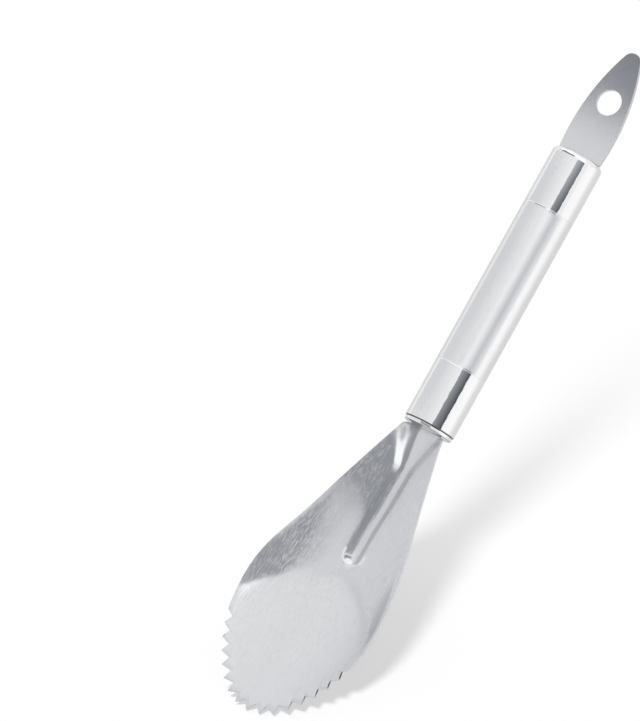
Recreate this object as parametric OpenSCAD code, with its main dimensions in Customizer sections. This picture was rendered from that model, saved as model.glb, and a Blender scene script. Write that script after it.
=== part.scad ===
// Citrus peeler: a stamped scoop with a toothed tip on a tubular handle, all in stainless steel.
// X runs along the handle to the tip, Y across, Z up out of the scoop's hollow side.

/* [Handle tube] */
// Outside diameter of the tube
tube_d = 19; // [17:0.5:24]
// Length of the tube, from the seam at the front cap to the rear end
tube_l = 108; // [95:1:140]
// Wall of the tube
tube_wall = 0.8; // [0.6:0.1:1.2]
// Outer rounding of the closed rear end
tube_end_r = 2.4; // [1.5:0.1:3]
// Length of the polished band at each end
band_l = 22.5; // [15:0.5:30]
// Width of the fine turned line that ends each band
line_w = 0.5; // [0.3:0.1:0.8]
// Depth of that line
line_depth = 0.12; // [0.05:0.01:0.2]

/* [Front cap] */
// Thickness of the flange in front of the seam
flange_t = 1.5; // [1:0.1:2.5]
// Rounding of the flange's front edge
flange_r = 0.4; // [0.2:0.1:0.6]
// How far the flange's rim is set in from the tube's outside
flange_inset = 0.4; // [0:0.1:0.4]
// Rounding of the two edges that meet at the seam
seam_r = 0.25; // [0.1:0.05:0.3]
// Length of the spigot inside the tube
spigot_l = 5; // [3:0.5:8]
// Wall of the cap behind its flange
cap_wall = 1; // [0.8:0.1:1.5]

/* [Blade outline] */
// Thickness of the sheet
sheet_t = 0.7; // [0.6:0.1:1.4]
// Reach of the blade in front of the seam
blade_l = 118; // [105:1:135]
// Greatest width of the scoop
blade_w = 55.5; // [48:0.5:62]
// Distance of the greatest width from the seam
widest_at = 76; // [68:1:84]
// Radius of the side where the taper runs into the greatest width
shoulder_r = 66; // [40:1:90]
// Radius of the tip over the tooth points
tip_r = 18; // [14:0.5:22]
// Width of the neck where the taper starts
neck_w = 17.2; // [15:0.2:18.4]
// Distance of that start from the seam
neck_at = 4; // [3.5:0.1:6]
// Gap between the cap and the shoulders of the neck
neck_gap = 0.3; // [0.2:0.1:0.6]

/* [Teeth] */
// Number of teeth round the tip
teeth = 15; // [11:2:17]
// Distance from tooth to tooth along the edge
tooth_pitch = 5; // [4:0.05:5.4]
// Lean of the points towards the handle, as a share of their distance from the tip
tooth_lean = 0.035; // [0:0.005:0.05]
// Depth of the notches
tooth_depth = 3; // [2:0.1:3.5]

/* [Blade pressing] */
// Height of the scoop's floor over the handle's axis
floor_z = 3.4; // [2:0.1:5]
// Radius of the dish across the scoop
dish_r = 41.6; // [38:0.1:60]
// Rise of the flat wings beside the neck for each millimetre outwards
wing_slope = 0.4; // [0.3:0.01:0.5]
// Height over the handle's axis where the planes of those wings meet at the neck
wing_z = 0.4; // [0:0.05:1]
// Climb of the wings for each millimetre forward
wing_climb = 0.025; // [0:0.005:0.06]
// Distance from the seam where the flat wings start to turn into the dish
wing_from = 26; // [18:1:30]
// Distance from the seam where they have become the dish
wing_to = 48; // [34:1:50]
// Rise of the lip for each millimetre forward
lip_slope = 0.26; // [0.15:0.005:0.32]
// Distance from the seam where the lip starts to rise on the centre line
lip_at = 61; // [52:1:64]
// How much farther forward the lip starts at the widest part
lip_sweep = 19.5; // [10:0.5:25]
// Bow of that line: 1 is two straight halves, 2 a parabola
lip_bow = 1.6; // [1.2:0.1:2.4]
// Softness of the bend at the foot of the lip
lip_soft = 3; // [2:0.5:12]
// Width of the pressed groove at its rims
groove_w = 7; // [6:0.1:11]
// Width of the groove's floor
groove_floor = 2.8; // [2:0.1:5]
// Height of that floor over the handle's axis in the neck
groove_z = 0.2; // [0:0.1:1.5]
// Climb of that floor for each millimetre forward of the flare
groove_climb = 0.04; // [0:0.005:0.06]
// Softness of the groove's bends
groove_soft = 0.9; // [0.6:0.1:1.2]
// Distance of the groove's round end from the seam
groove_end = 56; // [45:1:62]
// Width of the groove's floor in the neck
neck_floor = 6; // [4:0.1:8]
// Softness of its bends there
neck_soft = 1.6; // [1:0.1:3]
// Distance from the seam where the neck has flared down to the plain groove
flare_end = 17; // [13:0.5:26]

/* [Tang and plugs] */
// Width of the tang
tang_w = 12; // [9:0.2:13.6]
// Length of the tang behind the seam
tang_l = 32; // [24:1:45]
// Depth of the notch in each side of the tang and of the stem
key_depth = 1.6; // [1:0.1:2.5]
// Length of those notches
key_l = 6; // [4:0.5:9]
// Length of a plug beyond the end of what it grips
plug_over = 3; // [1:0.5:8]
// Gap between a plug and the tube, the tang or the stem
plug_clear = 0.1; // [0.05:0.01:0.2]

/* [Hanging tab] */
// Thickness of the tab
tab_t = 1.5; // [1:0.1:2]
// Reach of the tab behind the tube
tab_l = 41; // [34:1:50]
// Greatest width of the tab
tab_w = 18.2; // [15:0.2:22]
// Distance of the greatest width from the tube's end
tab_widest_at = 9; // [5:0.5:14]
// Radius of the tab's tip
tab_tip_r = 3.5; // [2:0.1:5]
// Diameter of the hanging hole
hole_d = 9.5; // [6:0.1:11]
// Distance of the hole from the tube's end
hole_at = 21.5; // [14:0.5:26]
// Length of the stem inside the tube
stem_l = 18; // [12:1:30]
// Gap at each edge of the stem in the tube's bore
stem_gap = 0.4; // [0.2:0.1:0.8]

/* [Hidden] */
$fn = 96;
eps = 0.01;
tube_r = tube_d / 2;
bore_r = tube_r - tube_wall;
plug_r = bore_r - plug_clear;
stem_w = 2 * (bore_r - stem_gap);
half_w = blade_w / 2;
steel = "lightsteelblue";
satin = "silver";
moulded = "dimgray";

// The sheet leans back on the lip, so its outer face reaches a little farther than its inner one.
tip_x = blade_l - sheet_t * sin(atan(lip_slope));
origin_x = (tube_l + tab_l - blade_l) / 2;

// Smooth step from 0 to 1 as t goes from 0 to 1
function ease(t) = let (c = min(1, max(0, t))) c * c * (3 - 2 * c);
function mix(a, b, t) = a + (b - a) * t;

// Pointed arch that blade and tab share: side arcs of one radius, tangent to a round tip.
// w is the half width, at the distance back from the tip's end given by reach, r the tip's radius.
function arch_side_r(w, reach, r) = (pow(reach - r, 2) + w * w - r * r) / (2 * (w - r));
function arch_turn(w, reach, r) = atan2(arch_side_r(w, reach, r) - w, reach - r);
// Point of the arch where its outward direction is a degrees from the centre line, from the widest station
function arch_point(w, reach, r, a) = a < arch_turn(w, reach, r)
    ? [reach - r + r * cos(a), r * sin(a)]
    : let (side = arch_side_r(w, reach, r)) [side * cos(a), w - side + side * sin(a)];

// Blade outline. The taper is the line from the neck's corner, tangent to the shoulder arc.
tip_reach = tip_x - widest_at;
shoulder_y = half_w - shoulder_r;
neck_to_shoulder = norm([widest_at - neck_at, shoulder_y - neck_w / 2]);
taper = atan2(shoulder_y - neck_w / 2, widest_at - neck_at) + asin(shoulder_r / neck_to_shoulder);
taper_end = widest_at - shoulder_r * sin(taper);
shoulder_start = flange_t + neck_gap;
tip_side_r = arch_side_r(half_w, tip_reach, tip_r);
tip_turn = arch_turn(half_w, tip_reach, tip_r);
key_mid = -(spigot_l + tang_l) / 2;
key_slope = 0.5;

// Outward direction of the toothed edge at the distance s along it from the tip
function edge_angle(s) = let (turn = tip_r * tip_turn * PI / 180)
    s < turn ? s / tip_r * 180 / PI : tip_turn + (s - turn) / tip_side_r * 180 / PI;
// Point of the toothed edge, number k counted in half pitches from the tip; odd numbers are notches
function edge_point(k) = let (
        notched = abs(k) % 2,
        a = edge_angle(abs(k) * tooth_pitch / 2 * (1 + tooth_lean * (1 - notched))),
        p = arch_point(half_w, tip_reach, tip_r, a),
        cut = notched * tooth_depth)
    [widest_at + p[0] - cut * cos(a), sign(k) * (p[1] - cut * sin(a))];
edge_last = teeth + 1;
corner = edge_point(edge_last);

// Half width of the tang with its notches, of the neck's round shoulder and of the tapering scoop
function notch(x) = key_depth * min(1, max(0, (key_l / 2 - abs(x - key_mid)) / key_slope));
function neck_round(x) = sqrt(max(0, 1 - pow((neck_at - x) / (neck_at - shoulder_start), 2)));
function half_width(x) =
    x <= shoulder_start ? tang_w / 2 - notch(x)
    : x < neck_at ? mix(tang_w, neck_w, neck_round(x)) / 2
    : x < taper_end ? neck_w / 2 + (x - neck_at) * tan(taper)
    : x < widest_at ? shoulder_y + sqrt(pow(shoulder_r, 2) - pow(widest_at - x, 2))
    : half_w - tip_side_r + sqrt(pow(tip_side_r, 2) - pow(x - widest_at, 2));

// Pressed form: the height of the sheet's hollow face over the handle's axis
function dish(y) = dish_r - sqrt(dish_r * dish_r - y * y);
// Ramp that turns softly from level to a slope of one
function ramp(v, soft) = (v + sqrt(v * v + soft * soft)) / 2;
function lip(x, y) = lip_slope * ramp(x - lip_at - lip_sweep * pow(abs(y) / half_w, lip_bow), lip_soft);
function wings(x, y) = wing_z + wing_climb * max(0, x - neck_at) + wing_slope * abs(y);
function scoop(x, y) = lip(x, y)
    + mix(wings(x, y), floor_z + dish(y), ease((x - wing_from) / (wing_to - wing_from)));
function flare(x) = min(1, max(0, (flare_end - x) / (flare_end - neck_at)));
function groove_half(x) = mix(groove_w, neck_w, flare(x)) / 2;
function floor_half(x) = mix(groove_floor, neck_floor, flare(x)) / 2;
// Share of the groove's depth, 1 on its floor and 0 outside its rims
function groove(x, y) = let (
        rim = groove_half(x),
        foot = floor_half(x),
        soft = mix(groove_soft, neck_soft, flare(x)),
        start = groove_end - groove_w / 2,
        r = x < start ? abs(y) : norm([x - start, y]))
    (ramp(rim - r, soft) - ramp(foot - r, soft)) / (rim - foot);
function groove_bed(x) = groove_z + groove_climb * max(0, x - flare_end);
function face_z(x, y) = mix(scoop(x, y), groove_bed(x), groove(x, y));
// Unit normal of the hollow face, and the point of the back face under it
probe = 0.01;
function face_normal(x, y) = let (n = [
        (face_z(x - probe, y) - face_z(x + probe, y)) / (2 * probe),
        (face_z(x, y - probe) - face_z(x, y + probe)) / (2 * probe),
        1]) n / norm(n);
function face_point(p) = [p[0], p[1], face_z(p[0], p[1])];
function back_point(p) = face_point(p) - sheet_t * face_normal(p[0], p[1]);

// The sheet is a grid: rows across the blade, then rows that swing round to the toothed edge.
half_columns = edge_last;
columns = 2 * half_columns;
groove_columns = 8;
// Shares of the half width within which the groove's columns stay where the sheet is narrow
first_share = 0.25;
last_share = 0.62;
function groove_column(x, k) = k == 0 ? 0 : mix(
    min(floor_half(x) - groove_soft, first_share * half_width(x)),
    min(groove_half(x) + groove_soft, last_share * half_width(x)),
    (k - 1) / (groove_columns - 1));
// Columns follow the groove, then spread out evenly on the way to the teeth
function column_y(x, j) = let (
        b = half_width(x),
        k = abs(j),
        near = groove_column(x, min(k, groove_columns)),
        far = max(0, k - groove_columns) / (half_columns - groove_columns),
        spread = ease((x - groove_end) / (corner[0] - groove_end)))
    sign(j) * mix(mix(near, b, far), b * k / half_columns, spread);
function steps(a, b, n) = [for (i = [0 : n - 1]) mix(a, b, i / n)];
key_a = key_mid - key_l / 2;
key_b = key_mid + key_l / 2;
// Rows of the grid: round the neck's shoulders, down the flare, along the groove, round its end,
// up the lip, and in the fan to the teeth
neck_rows = 5;
flare_rows = 10;
groove_rows = 9;
end_rows = 8;
lip_rows = 18;
fan_rows = 10;
stations = concat(
    [-tang_l, key_a, key_a + key_slope, key_b - key_slope, key_b, 0],
    [for (a = steps(0, 90, neck_rows)) neck_at - (neck_at - shoulder_start) * cos(a)],
    steps(neck_at, flare_end, flare_rows),
    steps(flare_end, groove_end - groove_w, groove_rows),
    steps(groove_end - groove_w, groove_end, end_rows),
    steps(groove_end, corner[0], lip_rows),
    [corner[0]]);
body_rows = len(stations);
rows = body_rows + fan_rows;
function row_plan(i) = i < body_rows
    ? [for (j = [-half_columns : half_columns]) [stations[i], column_y(stations[i], j)]]
    : [for (j = [-half_columns : half_columns])
        mix([corner[0], column_y(corner[0], j)], edge_point(j), (i - body_rows + 1) / fan_rows)];
// The two corners where the teeth begin stay one point each through the fan rows
function grid_index(i, j) = let (row = j == 0 || j == columns ? min(i, body_rows - 1) : i)
    row * (columns + 1) + j;
function two_triangles(a, b, c, d) = [for (t = [[a, b, c], [a, c, d]])
    if (t[0] != t[1] && t[1] != t[2] && t[2] != t[0]) t];
function wall(a, b, back) = [[a, b, b + back], [a, b + back, a + back]];

module pressed_sheet() {
    plan = [for (i = [0 : rows - 1]) each row_plan(i)];
    back = len(plan);
    cells = [for (i = [0 : rows - 2], j = [0 : columns - 1]) each two_triangles(
        grid_index(i, j), grid_index(i, j + 1), grid_index(i + 1, j + 1), grid_index(i + 1, j))];
    rim = concat(
        [for (j = [0 : columns - 1]) each wall(grid_index(0, j + 1), grid_index(0, j), back)],
        [for (i = [0 : body_rows - 2]) each wall(grid_index(i, 0), grid_index(i + 1, 0), back)],
        [for (j = [0 : columns - 1]) each wall(grid_index(rows - 1, j), grid_index(rows - 1, j + 1), back)],
        [for (i = [0 : body_rows - 2]) each wall(grid_index(i + 1, columns), grid_index(i, columns), back)]);
    polyhedron(
        points = concat([for (p = plan) face_point(p)], [for (p = plan) back_point(p)]),
        faces = concat(cells, [for (t = cells) [t[2] + back, t[1] + back, t[0] + back]], rim));
}

// The tool is drawn about the handle's axis, with x = 0 at the seam, and set down on its tube.
module set_down() { translate([origin_x, 0, tube_r]) children(); }
// Extrudes a Y-Z outline along X from x = a to x = b
module along_x(a, b) {
    translate([a, 0, 0]) rotate([90, 0, 90]) linear_extrude(height = b - a) children();
}
// Turns an outline of radius (x) and length (y) about the handle's axis, length running to the tip
module turned() { rotate([0, 90, 0]) rotate_extrude() children(); }

// Section of the tang, grown by a gap all round. The tang is straight, so the one at the seam will do.
tang_half = tang_w / 2;
section_steps = 8;
function section_y(gap) = [for (k = [-section_steps : section_steps]) k * (tang_half + gap) / section_steps];
function tang_face(gap) = [for (y = section_y(gap)) [y, face_z(0, y) + gap]];
function tang_back(gap) = [for (y = section_y(gap)) let (q = back_point([0, y])) [q[1], q[2] - gap]];
function reversed(v) = [for (i = [len(v) - 1 : -1 : 0]) v[i]];
tang_edge = back_point([0, tang_half]);
module tang_slot() { polygon(concat(tang_face(plug_clear), reversed(tang_back(plug_clear)))); }

// Arc of points about a centre
function arc(c, r, from, to, n = 16) = [for (i = [0 : n]) let (a = mix(from, to, i / n))
    c + r * [cos(a), sin(a)]];

module scoop_blade() { color(satin) set_down() pressed_sheet(); }

module front_cap() {
    skirt_r = plug_r - cap_wall;
    rim_r = tube_r - flange_inset;
    profile = concat([[0, flange_t]],
        reversed(arc([rim_r - flange_r, flange_t - flange_r], flange_r, 0, 90, 8)),
        reversed(arc([rim_r - seam_r, seam_r], seam_r, -90, 0, 8)),
        [[plug_r, 0], [plug_r, -spigot_l], [skirt_r, -spigot_l], [skirt_r, 0], [0, 0]]);
    color(steel) set_down() difference() {
        turned() polygon(profile);
        along_x(-spigot_l, flange_t + eps) tang_slot();
    }
}

// Where the front plug starts and ends along the handle, and the height of the joint between its halves
front_plug_from = -tang_l - plug_over;
front_plug_to = -spigot_l - plug_clear;
joint_z = (face_z(0, tang_half) + tang_edge[2]) / 2;
// How far a rib goes into the body of its plug
rib_root = 1;
// Ribs for the notches at both sides, from y = inner out to the plug's round, between two heights
module key_ribs(mid, length, inner, from, to) {
    along_x(mid - length / 2, mid + length / 2) intersection() {
        circle(plug_r);
        for (s = [-1, 1]) translate([s > 0 ? inner : -tube_r, from]) square([tube_r - inner, to - from]);
    }
}

module front_plug_upper() {
    side = (tang_half + tang_edge[1]) / 2 + plug_clear;
    over = concat([[-tube_r, joint_z], [-side, joint_z]], tang_face(plug_clear),
        [[side, joint_z], [tube_r, joint_z], [tube_r, tube_r], [-tube_r, tube_r]]);
    color(moulded) set_down() along_x(front_plug_from, front_plug_to) intersection() {
        circle(plug_r);
        polygon(over);
    }
}

module front_plug_lower() {
    side = tang_edge[1] + plug_clear;
    top = joint_z - plug_clear;
    under = concat([[-tube_r, top], [-side, top]], tang_back(plug_clear),
        [[side, top], [tube_r, top], [tube_r, -tube_r], [-tube_r, -tube_r]]);
    rib_l = key_l - 2 * (key_slope + plug_clear);
    rib_in = back_point([0, tang_half - key_depth])[1] + plug_clear;
    rib_top = min(top, face_z(0, rib_in));
    color(moulded) set_down() union() {
        along_x(front_plug_from, front_plug_to) intersection() {
            circle(plug_r);
            polygon(under);
        }
        key_ribs(key_mid, rib_l, rib_in, rib_top - sheet_t - rib_root, rib_top);
    }
}

module handle_tube() {
    inner_r = tube_end_r - tube_wall;
    function line_at(x) = [[tube_r, x - line_w / 2], [tube_r - line_depth, x], [tube_r, x + line_w / 2]];
    profile = concat([[0, -tube_l]],
        arc([tube_r - tube_end_r, tube_end_r - tube_l], tube_end_r, -90, 0),
        line_at(band_l - tube_l), line_at(-band_l),
        arc([tube_r - seam_r, -seam_r], seam_r, 0, 90, 8),
        [[bore_r, 0]],
        reversed(arc([bore_r - inner_r, tube_end_r - tube_l], inner_r, -90, 0)),
        [[0, tube_wall - tube_l]]);
    color(steel) set_down() difference() {
        turned() polygon(profile);
        translate([-tube_l - eps, -stem_w / 2 - plug_clear, -tab_t / 2 - plug_clear])
            cube([tube_end_r + eps, stem_w + 2 * plug_clear, tab_t + 2 * plug_clear]);
    }
}

// Where the rear plug starts and ends, and the middle of the notches in the tab's stem
rear_plug_from = tube_end_r - tube_l;
rear_plug_to = stem_l + plug_over - tube_l;
stem_key_mid = tube_end_r + (stem_l - tube_end_r) / 2 - tube_l;
module rear_plug_half(side) {
    along_x(rear_plug_from, rear_plug_to) intersection() {
        circle(plug_r);
        translate([-tube_r, side > 0 ? tab_t / 2 + plug_clear : -tube_r])
            square([tube_d, tube_r - tab_t / 2 - plug_clear]);
    }
}

module rear_plug_upper() { color(moulded) set_down() rear_plug_half(1); }

module rear_plug_lower() {
    rib_in = stem_w / 2 - key_depth + plug_clear;
    color(moulded) set_down() union() {
        rear_plug_half(-1);
        key_ribs(stem_key_mid, key_l - 2 * plug_clear, rib_in, -tab_t / 2 - rib_root, tab_t / 2);
    }
}

module hang_tab() {
    half = tab_w / 2;
    reach = tab_l - tab_widest_at;
    turn = arch_turn(half, reach, tab_tip_r);
    base = 90 + asin(tab_widest_at / arch_side_r(half, reach, tab_tip_r));
    tip_steps = 8;
    side_steps = 14;
    angles = concat(steps(0, turn, tip_steps), steps(turn, base, side_steps), [base]);
    edge = [for (a = angles) let (p = arch_point(half, reach, tab_tip_r, a))
        [-tube_l - tab_widest_at - p[0], p[1]]];
    stem = [[-tube_l, stem_w / 2], [stem_l - tube_l, stem_w / 2]];
    outline = concat(edge, stem, reversed([for (p = concat(edge, stem)) [p[0], -p[1]]]));
    color(steel) set_down() translate([0, 0, -tab_t / 2]) linear_extrude(height = tab_t) difference() {
        polygon(outline);
        translate([-tube_l - hole_at, 0]) circle(d = hole_d);
        for (s = [-1, 1]) translate([stem_key_mid, s * stem_w / 2])
            square([key_l, 2 * key_depth], center = true);
    }
}

scoop_blade();
front_cap();
front_plug_upper();
front_plug_lower();
handle_tube();
rear_plug_upper();
rear_plug_lower();
hang_tab();
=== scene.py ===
# %% [markdown]
# # A citrus peeler in brushed and polished steel
# The tool is a pressed scoop with a toothed tip on a tubular handle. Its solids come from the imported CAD
# model, in metres, with X along the handle to the tip and Z up out of the scoop. The lesson takes clean
# copies of the four steel pieces that show, finishes their edges, gives every piece its material and sets
# up a white studio.

# %% Load the frame
import math

import bpy
from mathutils import Matrix, Vector


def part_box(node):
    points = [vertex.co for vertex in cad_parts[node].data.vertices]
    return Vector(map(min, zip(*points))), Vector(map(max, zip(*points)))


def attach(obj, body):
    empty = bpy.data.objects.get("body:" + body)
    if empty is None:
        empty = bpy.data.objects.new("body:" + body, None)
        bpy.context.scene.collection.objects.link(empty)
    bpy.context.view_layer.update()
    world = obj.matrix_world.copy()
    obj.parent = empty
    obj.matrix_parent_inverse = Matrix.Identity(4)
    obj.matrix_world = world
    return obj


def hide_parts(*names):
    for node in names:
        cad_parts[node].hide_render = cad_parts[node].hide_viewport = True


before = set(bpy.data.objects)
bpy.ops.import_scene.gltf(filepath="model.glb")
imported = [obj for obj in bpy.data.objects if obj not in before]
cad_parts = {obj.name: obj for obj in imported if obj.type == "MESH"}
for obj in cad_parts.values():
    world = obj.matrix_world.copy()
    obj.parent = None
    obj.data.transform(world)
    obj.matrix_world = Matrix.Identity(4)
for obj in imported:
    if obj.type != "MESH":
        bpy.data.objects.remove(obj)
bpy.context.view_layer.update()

print("CAD nodes:", sorted(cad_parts))

# %% [markdown]
# ## Measures
# Everything that is placed later hangs on the handle, so its axis, its radius and the seam in front of it
# are read from the frame and not typed in. A change of the CAD model then carries through to the materials,
# the lights and the camera.

# %% Read the handle's place from its box
MM = 0.001
tube_low, tube_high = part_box("handle_tube")
seam = Vector((tube_high.x, 0, (tube_low.z + tube_high.z) / 2))
tube_radius = (tube_high.z - tube_low.z) / 2
tube_length = tube_high.x - tube_low.x
cap_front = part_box("front_cap")[1].x
print(f"seam at x = {seam.x / MM:.1f} mm, tube {2 * tube_radius / MM:.1f} x {tube_length / MM:.1f} mm")

# %% [markdown]
# ## Clean copies of the steel pieces
# A CAD node comes in as loose triangles, flat on every face. Shading it smooth as it is would show each
# triangle, and its own mesh has to stay as it is. So each steel piece is a copy: its doubles are merged,
# its triangles become quads, and a narrow bevel breaks the edges, because no stamped or turned edge is a
# perfect line. The bevel only takes material away, so the copy stays inside the CAD solid.

# %% Copy a node, break its edges and smooth it
MERGE_WITHIN = MM / 1000
QUAD_BEND, QUAD_SKEW = math.radians(20), math.radians(60)
UPRIGHT = 0.75


def alone(piece):
    """Selects one piece and nothing else."""
    bpy.ops.object.select_all(action="DESELECT")
    piece.select_set(True)
    bpy.context.view_layer.objects.active = piece


def apply_modifier(piece, kind, **settings):
    """Adds a modifier with these settings to a piece and applies it."""
    alone(piece)
    bpy.ops.object.modifier_add(type=kind)
    modifier = piece.modifiers[-1]
    for name, value in settings.items():
        setattr(modifier, name, value)
    bpy.ops.object.modifier_apply(modifier=modifier.name)


def mark_cut(piece, sharp):
    """Gives the second slot to the faces that the shear left: upright, with two sharp edges or more."""
    bpy.ops.object.mode_set(mode="EDIT")
    bpy.ops.mesh.select_mode(type="EDGE")
    bpy.ops.mesh.select_all(action="DESELECT")
    bpy.ops.mesh.edges_select_sharp(sharpness=math.radians(sharp))
    bpy.ops.object.mode_set(mode="OBJECT")
    crisp = {edge.key for edge in piece.data.edges if edge.select}
    cut = [face for face in piece.data.polygons
           if abs(face.normal.z) < UPRIGHT and sum(key in crisp for key in face.edge_keys) >= 2]
    for face in cut:
        face.material_index = 1
    print(f"{piece.name}: {len(cut)} cut faces")


def steel_copy(node, name, edge, sharp, slots=1):
    """A merged copy of a CAD node with broken edges: edge is the bevel's width, sharp its least angle."""
    piece = bpy.data.objects.new(name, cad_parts[node].data.copy())
    bpy.context.scene.collection.objects.link(piece)
    piece.data.materials.clear()
    for _ in range(slots):
        piece.data.materials.append(None)
    alone(piece)
    bpy.ops.mesh.customdata_custom_splitnormals_clear()
    bpy.ops.object.mode_set(mode="EDIT")
    bpy.ops.mesh.select_all(action="SELECT")
    bpy.ops.mesh.remove_doubles(threshold=MERGE_WITHIN)
    bpy.ops.mesh.tris_convert_to_quads(face_threshold=QUAD_BEND, shape_threshold=QUAD_SKEW)
    bpy.ops.object.mode_set(mode="OBJECT")
    if slots > 1:
        mark_cut(piece, sharp)
    apply_modifier(piece, "BEVEL", width=edge, segments=2, material=slots - 1,
                   limit_method="ANGLE", angle_limit=math.radians(sharp))
    alone(piece)
    bpy.ops.object.shade_smooth_by_angle(angle=math.radians(sharp))
    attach(piece, "root")
    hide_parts(node)
    print(f"{name}: {len(piece.data.polygons)} faces")
    return piece


# %% [markdown]
# ## The scoop
# The blade is one stamped sheet: its edge is cut, so it is crisp, with only a touch of rounding from the
# tumbler. The pressed grid of the copy is fine enough for smooth shading by itself.

# %% Blade
blade = steel_copy("scoop_blade", "blade", edge=0.2 * MM, sharp=40, slots=2)

# %% [markdown]
# ## The handle
# Tube and cap are turned and the tab is blanked from flat bar. Their flat and straight faces are large and
# meet small rounded ones, where plain smooth shading would bend the reflections. A Weighted Normal modifier
# lets the large faces decide.

# %% Tube, cap and hanging tab
tube = steel_copy("handle_tube", "tube", edge=0.06 * MM, sharp=20)
cap = steel_copy("front_cap", "cap", edge=0.08 * MM, sharp=30)
tab = steel_copy("hang_tab", "tab", edge=0.2 * MM, sharp=40, slots=2)
for piece in (tube, cap, tab):
    apply_modifier(piece, "WEIGHTED_NORMAL", keep_sharp=True)

# %% [markdown]
# ## Shader arithmetic
# A finish is easier to read as a formula than as a web of nodes. One small class wraps an output socket, so
# that plus, minus and times add Math nodes, and its one other method adds any node from its type, its
# settings and what its sockets get.

# %% A wire that does sums
class Wire:
    """An output socket of a node tree that understands arithmetic."""

    def __init__(self, tree, socket=None):
        self.tree, self.socket = tree, socket

    def add(self, kind, settings=None, inputs=None, output=0):
        """Adds a node, sets it up, feeds its sockets with values or wires, and returns one of its outputs."""
        node = self.tree.nodes.new(kind)
        for name, value in (settings or {}).items():
            setattr(node, name, value)
        for name, value in (inputs or {}).items():
            if isinstance(value, Wire):
                self.tree.links.new(value.socket, node.inputs[name])
            else:
                node.inputs[name].default_value = value
        return Wire(self.tree, node.outputs[output]) if node.outputs else None

    def sum_node(self, operation, a, b):
        return self.add("ShaderNodeMath", {"operation": operation}, {0: a, 1: b})

    def __add__(self, other):
        return self.sum_node("ADD", self, other)

    def __radd__(self, other):
        return self.sum_node("ADD", other, self)

    def __sub__(self, other):
        return self.sum_node("SUBTRACT", self, other)

    def __rsub__(self, other):
        return self.sum_node("SUBTRACT", other, self)

    def __mul__(self, other):
        return self.sum_node("MULTIPLY", self, other)

    def __rmul__(self, other):
        return self.sum_node("MULTIPLY", other, self)

    def __truediv__(self, other):
        return self.sum_node("DIVIDE", self, other)


def new_tree(owner):
    """The emptied node tree of a material or a world, as a wire to add nodes with."""
    owner.use_nodes = True
    owner.node_tree.nodes.clear()
    return Wire(owner.node_tree)


def place(wire):
    """Object coordinates as three wires, in metres."""
    at = wire.add("ShaderNodeTexCoord", output="Object")
    return [wire.add("ShaderNodeSeparateXYZ", inputs={0: at}, output=axis) for axis in "XYZ"]


def noise(wire, x, y, detail=2.0):
    """Noise from -0.5 to 0.5 over two coordinates, which are given in cells."""
    at = wire.add("ShaderNodeCombineXYZ", inputs={0: x, 1: y})
    return wire.add("ShaderNodeTexNoise", {"noise_dimensions": "2D"},
                    {"Vector": at, "Scale": 1.0, "Detail": detail}) - 0.5


def smooth_step(wire, value, start, end):
    """0 below the start, 1 above the end and a soft change between them."""
    return wire.add("ShaderNodeMapRange", {"interpolation_type": "SMOOTHSTEP"},
                    {"Value": value, "From Min": start, "From Max": end})


def blend_colour(wire, share, low, high):
    """A colour between two, by a share from 0 to 1."""
    return wire.add("ShaderNodeMix", {"data_type": "RGBA"}, {0: share, 6: low, 7: high}, output=2)


# Painted shade: the dark colour laid into the handle's seam and onto the cap's front face.
PAINTED_SHADE = (0.06, 0.06, 0.065, 1)


def steel(name, tint_low, tint_high, make, metallic=1.0):
    """A metal. make(wire) gives the share of the brighter tint, the roughness, the grain's height and its
    depth in metres, and the share of painted shade or None."""
    material = bpy.data.materials.new(name)
    wire = new_tree(material)
    share, roughness, height, depth, painted_shade = make(wire)
    normal = wire.add("ShaderNodeBump", inputs={"Strength": 1.0, "Distance": depth, "Height": height})
    colour = blend_colour(wire, share, tint_low, tint_high)
    if painted_shade is not None:
        colour = blend_colour(wire, painted_shade, colour, PAINTED_SHADE)
    shader = wire.add("ShaderNodeBsdfPrincipled", inputs={
        "Base Color": colour, "Metallic": metallic, "Roughness": roughness, "Normal": normal})
    wire.add("ShaderNodeOutputMaterial", inputs={"Surface": shader})
    print(f"{name}: {len(material.node_tree.nodes)} nodes")
    return material


# %% [markdown]
# ## Brushed steel
# The sheet is brushed along its length before it is cut. Each scratch is a fine furrow that scatters light
# across the grain and hardly along it. Anisotropic shading could fake that, but real furrows in a bump map
# also show as streaks close up: one layer finer than a pixel for the sheen, and one coarse enough to see.
# Deeper scratches from use lie over them, but not in the neck, where the sheet was drawn smooth.

# %% Blade finish
def brushed_grain(wire, x, across):
    """Fine furrows, coarse streaks and slow smudges of a brushed sheet, each from -0.5 to 0.5."""
    fine = noise(wire, x / (9 * MM), across / (0.09 * MM), 1.0)
    streaks = noise(wire, x / (3 * MM), across / (0.4 * MM), 1.0)
    smudges = noise(wire, x / (14 * MM), across / (9 * MM), 3.0)
    return fine, streaks, smudges


NECK_FADE = (seam.x + 14 * MM, seam.x + 24 * MM)
NECK_SIDES = (6 * MM, 9 * MM)


def blade_finish(wire):
    x, y, _ = place(wire)
    fine, streaks, smudges = brushed_grain(wire, x, y)
    aside = wire.sum_node("ABSOLUTE", y, 0)
    neck = (1 - smooth_step(wire, x, *NECK_FADE)) * (1 - smooth_step(wire, aside, *NECK_SIDES))
    scratches = (1 - neck) * smooth_step(wire, noise(wire, x / (3 * MM), y / (0.25 * MM), 1.0), 0.06, 0.24)
    share = 0.5 + 0.4 * streaks + 0.3 * smudges
    roughness = 0.16 + 0.05 * smudges + 0.06 * scratches
    return share, roughness, 0.4 * fine + 0.8 * streaks + 1.7 * scratches, 0.012 * MM, None


blade.data.materials[0] = steel("brushed_steel", (0.66, 0.665, 0.685, 1), (0.74, 0.745, 0.76, 1),
                                blade_finish)


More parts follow.
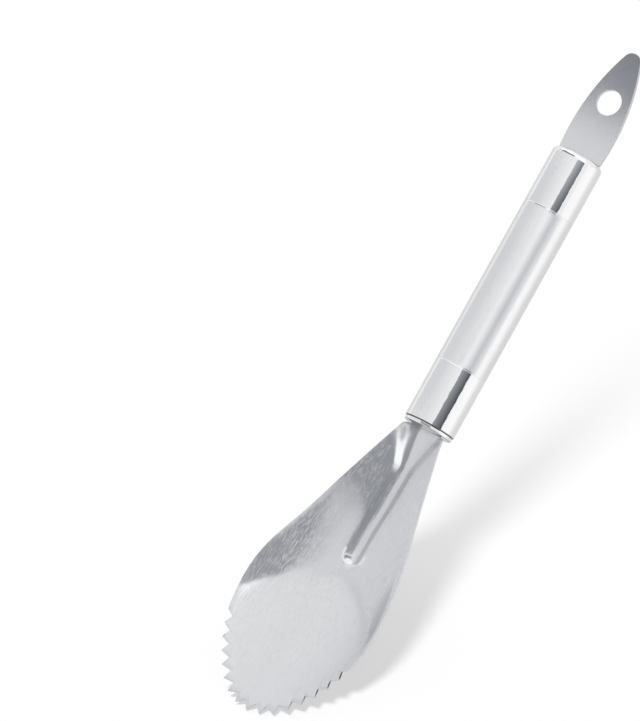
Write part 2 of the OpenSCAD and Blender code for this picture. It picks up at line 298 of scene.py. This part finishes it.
# %% [markdown]
# ## Cut edges
# A shear leaves a torn, dull edge that runs straight through the sheet. It is darker than the faces on both
# sides of it, and it draws the outline of the teeth. Its marks run through the thickness, so one noise over
# all three coordinates does.

# %% Sheared finish
def sheared_finish(wire):
    x, y, z = place(wire)
    torn = noise(wire, (x + y) / (0.3 * MM), z / (0.8 * MM), 2.0)
    return 0.5 + torn, 0.5 + 0.2 * torn, torn, 0.03 * MM, None


sheared = steel("sheared_steel", (0.52, 0.52, 0.535, 1), (0.72, 0.72, 0.735, 1), sheared_finish, 0.5)
blade.data.materials[1] = sheared


# %% [markdown]
# ## Polished and satin steel
# The handle is polished at both ends and satin between, and a fine turned line parts them. The mask for
# that only needs the distance along the handle. The satin has longitudinal scratches, so its noise is laid
# out on the unrolled tube: length and arc length. The polish has a slight ripple, which breaks up the edges
# of what it reflects. Shade is painted into the seam and onto the cap's front face, between the parts.

# %% Handle finish
BAND, BAND_SOFT = 22.5 * MM, 0.4 * MM
SEAM_CORE, SEAM_SIDE = 0.1 * MM, 0.35 * MM


def unrolled(wire, y, z):
    """Arc length round the handle's axis, in metres."""
    return wire.sum_node("ARCTAN2", y, z - seam.z) * tube_radius


def handle_finish(wire):
    x, y, z = place(wire)
    rear, front = tube_low.x + BAND, tube_high.x - BAND
    satin = (smooth_step(wire, x, rear - BAND_SOFT, rear + BAND_SOFT)
             - smooth_step(wire, x, front - BAND_SOFT, front + BAND_SOFT))
    arc = unrolled(wire, y, z)
    fine, streaks, smudges = brushed_grain(wire, x, arc)
    ripple = noise(wire, x / (1.5 * MM), arc / (0.6 * MM), 1.0)
    share = 0.6 + 0.4 * smudges + satin * (0.5 * streaks - 0.2)
    roughness = 0.07 + 0.03 * smudges + 0.04 * streaks + 0.06 * satin
    groove = (smooth_step(wire, x, seam.x - SEAM_SIDE, seam.x - SEAM_CORE)
              - smooth_step(wire, x, seam.x + SEAM_CORE, seam.x + SEAM_SIDE))
    face = smooth_step(wire, x, cap_front - 0.3 * MM, cap_front - 0.05 * MM)
    # The last value is painted shade: the seam's groove and the cap's front face darken where shade falls
    # between the parts.
    return share, roughness, satin * fine + (1 - satin) * 1.5 * ripple, 0.008 * MM, 0.9 * groove + 0.6 * face


handle_steel = steel("polished_and_satin_steel", (0.76, 0.76, 0.77, 1), (0.88, 0.88, 0.89, 1), handle_finish)
for piece in (tube, cap):
    piece.data.materials[0] = handle_steel


# %% [markdown]
# ## The tab
# The tab is cut from flat bar with a rolled, slightly cloudy finish: less grain than the blade, softer than
# the polished tube.

# %% Tab finish
def tab_finish(wire):
    x, y, _ = place(wire)
    fine, streaks, smudges = brushed_grain(wire, x, y)
    share = 0.5 + 0.3 * streaks + 0.5 * smudges
    roughness = 0.24 + 0.05 * streaks + 0.08 * smudges
    return share, roughness, fine, 0.006 * MM, None


tab.data.materials[0] = steel("rolled_steel", (0.68, 0.685, 0.70, 1), (0.78, 0.785, 0.80, 1), tab_finish)
tab.data.materials[1] = sheared

# %% [markdown]
# ## The plugs
# The four plug halves sit inside the tube and stay CAD nodes. They still get a finish of their own, a matt
# moulding with the fine grain of a spark-eroded tool, for anyone who takes the tool apart.

# %% Moulded plugs
PLUGS = ("front_plug_upper", "front_plug_lower", "rear_plug_upper", "rear_plug_lower")


def moulded():
    material = bpy.data.materials.new("moulded_plug")
    wire = new_tree(material)
    at = wire.add("ShaderNodeTexCoord", output="Object")
    grain = wire.add("ShaderNodeTexNoise", inputs={"Vector": at, "Scale": 1 / (0.4 * MM), "Detail": 3.0})
    normal = wire.add("ShaderNodeBump", inputs={"Strength": 1.0, "Distance": 0.02 * MM, "Height": grain})
    shader = wire.add("ShaderNodeBsdfPrincipled", inputs={
        "Base Color": blend_colour(wire, grain, (0.18, 0.18, 0.19, 1), (0.25, 0.25, 0.26, 1)),
        "Roughness": 0.55 + 0.2 * grain, "Normal": normal})
    wire.add("ShaderNodeOutputMaterial", inputs={"Surface": shader})
    return material


moulded_plug = moulded()
for node in PLUGS:
    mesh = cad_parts[node].data
    mesh.materials.clear()
    mesh.materials.append(moulded_plug)
print("moulded:", ", ".join(PLUGS))

# %% [markdown]
# ## A white studio
# Steel shows what stands round it, so the studio is the look. The surround is white for what the camera and
# the metal see, and weaker for what lights the floor, so that the lamp's shadow stays. The floor is a sheet
# of paper that comes close to the tool at its tip and drops away under the handle, which carries the shadow
# to the side. Part of its white is glow, and the glow grows towards the rear, so the shadow fades out along
# the handle. In the metal the paper is a plain glow with a slightly darker middle. It is one-sided: from
# below the tool can be looked at through it.

# %% Surround and floor
def seen(wire):
    """1 on rays that show a picture of the surround: from the camera, off gloss, or through glass."""
    names = ("Is Camera Ray", "Is Glossy Ray", "Is Transmission Ray")
    rays = [wire.add("ShaderNodeLightPath", output=name) for name in names]
    return wire.sum_node("MINIMUM", rays[0] + rays[1] + rays[2], 1.0)


world = bpy.data.worlds.new("studio")
bpy.context.scene.world = world
wire = new_tree(world)
AMBIENT = 0.55
glow = wire.add("ShaderNodeBackground", inputs={
    "Color": (1, 1, 1, 1), "Strength": AMBIENT + (1 - AMBIENT) * seen(wire)})
wire.add("ShaderNodeOutputWorld", inputs={"Surface": glow})

PAPER_SIDE, PAPER_GAP = 12.0, 1.0 * MM
PAPER_UP = Vector((-0.694, -0.109, 0.712)).normalized()
touch = min(PAPER_UP.dot(vertex.co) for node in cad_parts.values() for vertex in node.data.vertices)
bpy.ops.object.select_all(action="DESELECT")
bpy.ops.mesh.primitive_plane_add(size=PAPER_SIDE, location=PAPER_UP * (touch - PAPER_GAP),
                                 rotation=PAPER_UP.to_track_quat("Z", "Y").to_euler())
bpy.ops.object.transform_apply(location=True, rotation=True, scale=True)
floor = bpy.context.active_object
floor.name = "floor"
print(f"floor {touch / MM:.1f} mm from the origin")

paper = bpy.data.materials.new("white_paper")
wire = new_tree(paper)
matt = wire.add("ShaderNodeBsdfDiffuse", inputs={"Color": (0.92, 0.92, 0.92, 1)})
GLOW_LEAST, FADE_FRONT, FADE_REAR = 0.37, 95 * MM, -130 * MM
MIRRORED_LEAST, MIRRORED_RISE, RISE_SLANTS = 0.80, 0.35, (0.3, 2.3)
x, y, z = place(wire)
gloss = wire.add("ShaderNodeLightPath", output="Is Glossy Ray")
slant = y / (seam.z - z)
tone = MIRRORED_LEAST + MIRRORED_RISE * smooth_step(wire, slant, *RISE_SLANTS)
level = 1.0 + gloss * (tone - 1.0)
grey = wire.add("ShaderNodeCombineColor", inputs={0: level, 1: level, 2: level})
white = wire.add("ShaderNodeEmission", inputs={"Color": grey, "Strength": 1.0})
fade = 1 - smooth_step(wire, x, seam.x + FADE_REAR, seam.x + FADE_FRONT)
glow_share = seen(wire) * (GLOW_LEAST + (1 - GLOW_LEAST) * wire.sum_node("MAXIMUM", fade, gloss))
sheet = wire.add("ShaderNodeMixShader", inputs={0: glow_share, 1: matt, 2: white})
clear = wire.add("ShaderNodeBsdfTransparent")
under = wire.add("ShaderNodeNewGeometry", output="Backfacing")
one_sided = wire.add("ShaderNodeMixShader", inputs={0: under, 1: sheet, 2: clear})
wire.add("ShaderNodeOutputMaterial", inputs={"Surface": one_sided})
floor.data.materials.append(paper)

# %% [markdown]
# ## The camera
# The picture was taken from above the right-hand side of the tool, with a long lens. The view is easiest to
# give about the handle: lean is the turn about the handle's axis from straight above, nod how far the tip
# comes towards the lens, and roll the handle's angle in the picture.

# %% Camera
LEAN = math.radians(27)
NOD = math.radians(5.8)
HANDLE_ACROSS, HANDLE_DOWN = -0.48731, 0.87323
FRAME_HEIGHT = 250 * MM
FRAME_CENTRE = (-37.9 * MM, 23.0 * MM)
LENS, SENSOR = 600, 36

back = Vector((math.sin(NOD), math.cos(NOD) * math.sin(LEAN), math.cos(NOD) * math.cos(LEAN)))
along = Vector((math.cos(NOD), -math.sin(NOD) * math.sin(LEAN), -math.sin(NOD) * math.cos(LEAN)))
aside = Vector((0, math.cos(LEAN), -math.sin(LEAN)))
right = HANDLE_ACROSS * along + HANDLE_DOWN * aside
up = -HANDLE_DOWN * along + HANDLE_ACROSS * aside
distance = FRAME_HEIGHT * LENS / SENSOR
eye = seam + FRAME_CENTRE[0] * right + FRAME_CENTRE[1] * up + distance * back

camera_data = bpy.data.cameras.new("camera")
camera_data.lens, camera_data.sensor_width = LENS, SENSOR
camera = bpy.data.objects.new("camera", camera_data)
camera.matrix_world = Matrix((right, up, back)).transposed().to_4x4()
camera.location = eye
bpy.context.scene.collection.objects.link(camera)
bpy.context.scene.camera = camera
print("camera at", [round(v, 3) for v in eye])

# %% [markdown]
# ## Lamp and cards
# One lamp, a small sun high above the handle, throws the shadow. It is kept out of reflections, because its
# picture in the steel would be a burnt spot. What shapes the steel are grey cards, each curved round the
# handle. A card is given by where it hangs, so that it can be put where a reflection is wanted. The cards
# for the handle hang close to it, because a slightly rough tube blurs what is far away.

# %% Lamp
TO_LAMP = Vector((-0.174, 0.127, 0.977)).normalized()
LAMP_WIDTH, LAMP_STRENGTH = math.radians(10), 2.15
lamp_data = bpy.data.lights.new("key", "SUN")
lamp_data.angle = LAMP_WIDTH
lamp_data.energy = LAMP_STRENGTH
lamp = bpy.data.objects.new("key", lamp_data)
bpy.context.scene.collection.objects.link(lamp)
lamp.rotation_euler = TO_LAMP.to_track_quat("Z", "Y").to_euler()
lamp.visible_glossy = False
print(f"lamp {math.degrees(math.asin(TO_LAMP.dot(PAPER_UP))):.0f} degrees above the paper")

# %% Cards
CARD_CELLS = 12
LESS_RED, MORE_BLUE = 0.06, 0.09


def between(pair, share):
    """The value at a share from 0 to 1 of the way between two."""
    return pair[0] + (pair[1] - pair[0]) * share


def card(name, reach, ends, turns, greys):
    """A curved card at one reach from the handle's axis, between two distances in front of the seam, all in
    millimetres, and two turns from straight up, in degrees. greys has a pair for each end, from the first
    turn to the second."""
    bpy.ops.object.select_all(action="DESELECT")
    bpy.ops.mesh.primitive_grid_add(x_subdivisions=CARD_CELLS, y_subdivisions=CARD_CELLS, size=1)
    hung = bpy.context.active_object
    hung.name = name
    shades = hung.data.color_attributes.new(name="shade", type="FLOAT_COLOR", domain="POINT")
    for vertex, shade in zip(hung.data.vertices, shades.data):
        along_it, round_it = vertex.co.x + 0.5, vertex.co.y + 0.5
        turn = math.radians(between(turns, round_it))
        offset = Vector((between(ends, along_it), reach * math.sin(turn), reach * math.cos(turn)))
        vertex.co = seam + MM * offset
        grey = between((between(greys[0], round_it), between(greys[1], round_it)), along_it)
        cool = max(0, 1 - grey)
        shade.color = (grey * (1 - LESS_RED * cool), grey, grey * (1 + MORE_BLUE * cool), 1)
    hung.data.materials.append(card_shade)
    hung.visible_camera = hung.visible_diffuse = hung.visible_shadow = hung.visible_transmission = False


card_shade = bpy.data.materials.new("card_shade")
wire = new_tree(card_shade)
shade = wire.add("ShaderNodeVertexColor", {"layer_name": "shade"})
wire.add("ShaderNodeOutputMaterial", inputs={
    "Surface": wire.add("ShaderNodeEmission", inputs={"Color": shade, "Strength": 1.0})})

# Each card glows with its own grey, some brighter than white, and only reflections in the metal show it.
CARDS = [
    ("front_left", 25, (-24.1, -1.4), (-10, 31), ((0.86, 1.0), (0.86, 1.0))),
    ("front_stripe", 25, (-24.1, -1.4), (31, 65), ((0.38, 0.08), (0.34, 0.08))),
    ("satin_left", 25, (-87.1, -24.1), (27, 54), ((1.06, 0.64), (1.06, 0.64))),
    ("satin_right", 25, (-87.1, -24.1), (54, 80), ((0.64, 0.98), (0.64, 0.98))),
    ("rear_stripe", 25, (-110, -87.1), (26, 53), ((0.60, 0.20), (0.33, 0.11))),
    ("neck", 1600, (-720, -380), (24, 58), ((1.42, 1.42), (1.42, 1.42))),
    ("lip_left", 1700, (-1300, -760), (-27, 70), ((1.05, 1.18), (1.05, 1.18))),
    ("lip_right", 1700, (-1300, -760), (-89, -27), ((0.70, 1.05), (0.70, 1.05))),
    ("groove_end", 780, (-2500, -700), (-89, 70), ((1.3, 1.3), (1.3, 1.3))),
    ("handle_left", 780, (-200, -78), (-89, -44), ((0.77, 0.77), (0.77, 0.77))),
    ("handle_top", 780, (-200, -78), (-44, 19), ((0.77, 1.0), (0.77, 1.0))),
    ("lip", 780, (-450, -200), (-89, 19), ((1.03, 1.03), (0.77, 1.0))),
    ("blade_left", 780, (-78, 60), (-89, -8), ((0.93, 0.93), (0.78, 0.78))),
    ("blade_top", 780, (-78, 60), (-8, 13), ((0.93, 0.55), (0.82, 0.55))),
    ("wing", 75, (-13.5, 23.3), (-16, 31), ((0.38, 0.38), (0.38, 0.38))),
    ("groove_wall", 60, (6.5, 32), (28, 60), ((0.34, 0.30), (0.34, 0.30))),
    ("groove_tip", 8.2, (50, 53.2), (-25, -3), ((1.1, 1.1), (1.1, 1.1))),
    ("scoop", 300, (-15, 60), (13, 75), ((0.42, 0.32), (0.42, 0.32))),
    ("groove", 300, (-15, 24), (60, 88), ((0.50, 0.50), (0.50, 0.50))),
    ("tab_tip", 100, (-190, -138), (-60, 5), ((0.07, 0.07), (0.38, 0.38))),
    ("right", 500, (-450, 350), (78, 89), ((1.12, 1.12), (1.12, 1.12))),
]
for entry in CARDS:
    card(*entry)
print(len(CARDS), "cards")

# %% [markdown]
# ## The view transform
# The picture uses Blender's Standard view transform. Nothing here may grow past the CAD
# model.

# %% View transform
bpy.context.scene.view_settings.view_transform = "Standard"
